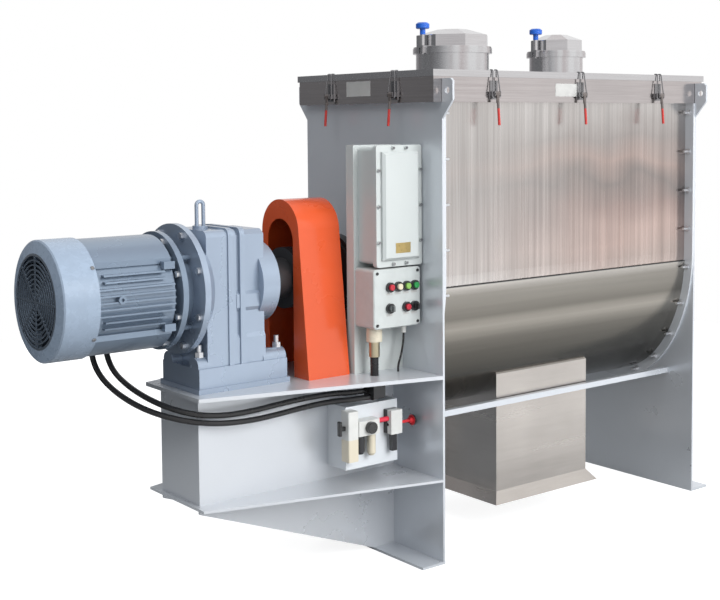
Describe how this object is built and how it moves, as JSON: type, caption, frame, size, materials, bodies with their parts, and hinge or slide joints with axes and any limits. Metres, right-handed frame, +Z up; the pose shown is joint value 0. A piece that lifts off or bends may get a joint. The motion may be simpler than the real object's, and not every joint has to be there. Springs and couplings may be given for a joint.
{
  "type": "horizontal ribbon mixer",
  "caption": "Horizontal ribbon mixer: U-shaped stainless trough on plate legs, geared motor drive with guard, double ribbon agitator, hinged hatches and bottom discharge flap.",
  "frame": {"origin": "on the floor under the middle of the machine's box, midway between the motor cowl and the far foot", "axes": "+X along the shaft from the motor to the far end, +Y away from the control side, +Z up"},
  "size_m": [2.597, 0.842, 1.7886],
  "materials": {
    "air_body": "painted and bare air fittings",
    "black_iron": "black satin paint",
    "black_plastic": "black plastic",
    "blue_plastic": "blue moulded plastic",
    "bolts": "bright zinc or stainless",
    "cable_black": "smooth black cable jacket",
    "clamp_steel": "stamped bright steel",
    "cowl_paint": "blue-grey gloss paint",
    "cream_plastic": "cream plastic",
    "enclosure": "pale green-white powder coat",
    "fitting": "bare metal fittings",
    "frame_paint": "silver-grey semi-gloss paint",
    "gasket": "soft white rubber",
    "gearbox_paint": "blue-grey gloss paint on cast iron",
    "green_plastic": "green plastic",
    "grey_plastic": "grey plastic",
    "guard_paint": "orange-red gloss paint",
    "motor_paint": "blue-grey gloss paint",
    "platform_paint": "silver-grey semi-gloss paint",
    "red_grip": "dipped red plastic over steel",
    "red_plastic": "red plastic",
    "shaft_steel": "machined",
    "stainless_band": "brushed lengthways",
    "stainless_bright": "polished",
    "stainless_lid": "fine brushed",
    "stainless_shell": "brushed along the wall's height, reflective",
    "yellow_plastic": "yellow-green plastic"
  },
  "bodies": {
    "frame": {"drive_leg_plate": "frame_paint", "far_leg_plate": "frame_paint", "tie_rails": "frame_paint", "pedestal_frame": "platform_paint", "platform_plate": "platform_paint", "pedestal_shelf": "platform_paint", "trough_shell": "stainless_shell", "assembly_bolts": "bolts", "rim_band": "stainless_band", "lid": "stainless_lid", "lid_gasket": "gasket", "clamp_bases": "clamp_steel", "clamp_bails": "clamp_steel", "discharge_chute": "stainless_shell", "flap_actuator": "air_body", "gearbox_housing": "gearbox_paint", "motor_body": "motor_paint", "fan_cowl": "cowl_paint", "coupling_guard": "guard_paint", "shaft_bearings": "black_iron", "control_panel": "enclosure", "isolator_box": "enclosure", "button_box": "enclosure", "cable_fittings": "fitting", "motor_cable_a": "cable_black", "motor_cable_b": "cable_black", "control_conduit": "cable_black", "sensor_cable": "cable_black", "air_bracket": "enclosure", "air_units": "air_body"},
    "agitator": {"agitator_shaft": "shaft_steel", "outer_ribbons": "stainless_bright", "inner_ribbons": "stainless_bright", "ribbon_spokes": "stainless_bright", "shaft_coupling": "black_iron"},
    "rotor": {"motor_rotor": "shaft_steel"},
    "large_cover": {"hatch_cover_large": "stainless_bright"},
    "small_cover": {"hatch_cover_small": "stainless_bright"},
    "large_knob": {"hatch_knob_large": "blue_plastic"},
    "small_knob": {"hatch_knob_small": "blue_plastic"},
    "flap": {"discharge_flap": "stainless_shell"},
    "stop_cap": {"stop_button": "red_plastic"},
    "lamp_test_cap": {"lamp_test_button": "cream_plastic"},
    "jog_cap": {"jog_button": "yellow_plastic"},
    "start_cap": {"start_button": "green_plastic"},
    "mode_knob": {"mode_selector": "grey_plastic"},
    "flap_close_cap": {"flap_close_button": "red_plastic"},
    "flap_knob": {"flap_selector": "black_plastic"},
    "pressure_knob": {"regulator_knob": "black_plastic"},
    "air_spool": {"valve_plunger": "red_plastic"},
    "lever_front_1": {"clamp_lever_front_1": "red_grip"},
    "lever_front_2": {"clamp_lever_front_2": "red_grip"},
    "lever_front_3": {"clamp_lever_front_3": "red_grip"},
    "lever_rear_1": {"clamp_lever_rear_1": "red_grip"},
    "lever_rear_2": {"clamp_lever_rear_2": "red_grip"},
    "lever_rear_3": {"clamp_lever_rear_3": "red_grip"},
    "lever_drive_1": {"clamp_lever_drive_1": "red_grip"},
    "lever_drive_2": {"clamp_lever_drive_2": "red_grip"},
    "lever_far_1": {"clamp_lever_far_1": "red_grip"},
    "lever_far_2": {"clamp_lever_far_2": "red_grip"}
  },
  "joints": [
    {"name": "agitator_spin", "type": "hinge", "parent": "frame", "child": "agitator", "pos_m": [-0.0805, 0, 0.936], "axis": [1, 0, 0], "continuous": true},
    {"name": "motor_spin", "type": "hinge", "parent": "frame", "child": "rotor", "pos_m": [-1.1805, 0, 0.936], "axis": [1, 0, 0], "continuous": true},
    {"name": "hatch_large_hinge", "type": "hinge", "parent": "frame", "child": "large_cover", "pos_m": [0.4495, 0, 1.702], "axis": [0, 1, 0], "range_deg": [0, 110]},
    {"name": "hatch_large_knob_turn", "type": "hinge", "parent": "large_cover", "child": "large_knob", "pos_m": [0.1575, 0, 1.7], "axis": [0, 0, 1], "range_deg": [0, 720]},
    {"name": "hatch_small_hinge", "type": "hinge", "parent": "frame", "child": "small_cover", "pos_m": [0.9555, 0, 1.702], "axis": [0, 1, 0], "range_deg": [0, 110]},
    {"name": "hatch_small_knob_turn", "type": "hinge", "parent": "small_cover", "child": "small_knob", "pos_m": [0.7215, 0, 1.7], "axis": [0, 0, 1], "range_deg": [0, 720]},
    {"name": "discharge_flap_hinge", "type": "hinge", "parent": "frame", "child": "flap", "pos_m": [0.5255, 0.112, 0.574], "axis": [1, 0, 0], "range_deg": [0, 80]},
    {"name": "stop_press", "type": "slide", "parent": "frame", "child": "stop_cap", "axis": [0, 1, 0], "range_m": [0, 0.004], "stiffness_N_per_m": 400},
    {"name": "lamp_test_press", "type": "slide", "parent": "frame", "child": "lamp_test_cap", "axis": [0, 1, 0], "range_m": [0, 0.004], "stiffness_N_per_m": 400},
    {"name": "jog_press", "type": "slide", "parent": "frame", "child": "jog_cap", "axis": [0, 1, 0], "range_m": [0, 0.004], "stiffness_N_per_m": 400},
    {"name": "start_press", "type": "slide", "parent": "frame", "child": "start_cap", "axis": [0, 1, 0], "range_m": [0, 0.004], "stiffness_N_per_m": 400},
    {"name": "flap_close_press", "type": "slide", "parent": "frame", "child": "flap_close_cap", "axis": [0, 1, 0], "range_m": [0, 0.004], "stiffness_N_per_m": 400},
    {"name": "mode_turn", "type": "hinge", "parent": "frame", "child": "mode_knob", "pos_m": [-0.2165, -0.268, 0.843], "axis": [0, 1, 0], "range_deg": [-45, 45]},
    {"name": "flap_turn", "type": "hinge", "parent": "frame", "child": "flap_knob", "pos_m": [-0.1145, -0.268, 0.843], "axis": [0, 1, 0], "range_deg": [-45, 45]},
    {"name": "pressure_turn", "type": "hinge", "parent": "frame", "child": "pressure_knob", "pos_m": [-0.2905, -0.256, 0.465], "axis": [0, 1, 0], "range_deg": [-540, 540]},
    {"name": "air_spool_slide", "type": "slide", "parent": "frame", "child": "air_spool", "axis": [1, 0, 0], "range_m": [-0.008, 0]},
    {"name": "lever_front_1_lift", "type": "hinge", "parent": "frame", "child": "lever_front_1", "pos_m": [0.147, -0.384, 1.53], "axis": [-1, 0, 0], "range_deg": [0, 150]},
    {"name": "lever_rear_1_lift", "type": "hinge", "parent": "frame", "child": "lever_rear_1", "pos_m": [0.147, 0.384, 1.53], "axis": [1, 0, 0], "range_deg": [0, 150]},
    {"name": "lever_front_2_lift", "type": "hinge", "parent": "frame", "child": "lever_front_2", "pos_m": [0.565, -0.384, 1.53], "axis": [-1, 0, 0], "range_deg": [0, 150]},
    {"name": "lever_rear_2_lift", "type": "hinge", "parent": "frame", "child": "lever_rear_2", "pos_m": [0.565, 0.384, 1.53], "axis": [1, 0, 0], "range_deg": [0, 150]},
    {"name": "lever_front_3_lift", "type": "hinge", "parent": "frame", "child": "lever_front_3", "pos_m": [0.983, -0.384, 1.53], "axis": [-1, 0, 0], "range_deg": [0, 150]},
    {"name": "lever_rear_3_lift", "type": "hinge", "parent": "frame", "child": "lever_rear_3", "pos_m": [0.983, 0.384, 1.53], "axis": [1, 0, 0], "range_deg": [0, 150]},
    {"name": "lever_drive_1_lift", "type": "hinge", "parent": "frame", "child": "lever_drive_1", "pos_m": [-0.1295, -0.175, 1.53], "axis": [0, 1, 0], "range_deg": [0, 150]},
    {"name": "lever_far_1_lift", "type": "hinge", "parent": "frame", "child": "lever_far_1", "pos_m": [1.2595, -0.175, 1.53], "axis": [0, -1, 0], "range_deg": [0, 150]},
    {"name": "lever_drive_2_lift", "type": "hinge", "parent": "frame", "child": "lever_drive_2", "pos_m": [-0.1295, 0.175, 1.53], "axis": [0, 1, 0], "range_deg": [0, 150]},
    {"name": "lever_far_2_lift", "type": "hinge", "parent": "frame", "child": "lever_far_2", "pos_m": [1.2595, 0.175, 1.53], "axis": [0, -1, 0], "range_deg": [0, 150]}
  ],
  "couplings": [
    {"joint": "motor_spin", "follows": "agitator_spin", "ratio": 28}
  ]
}
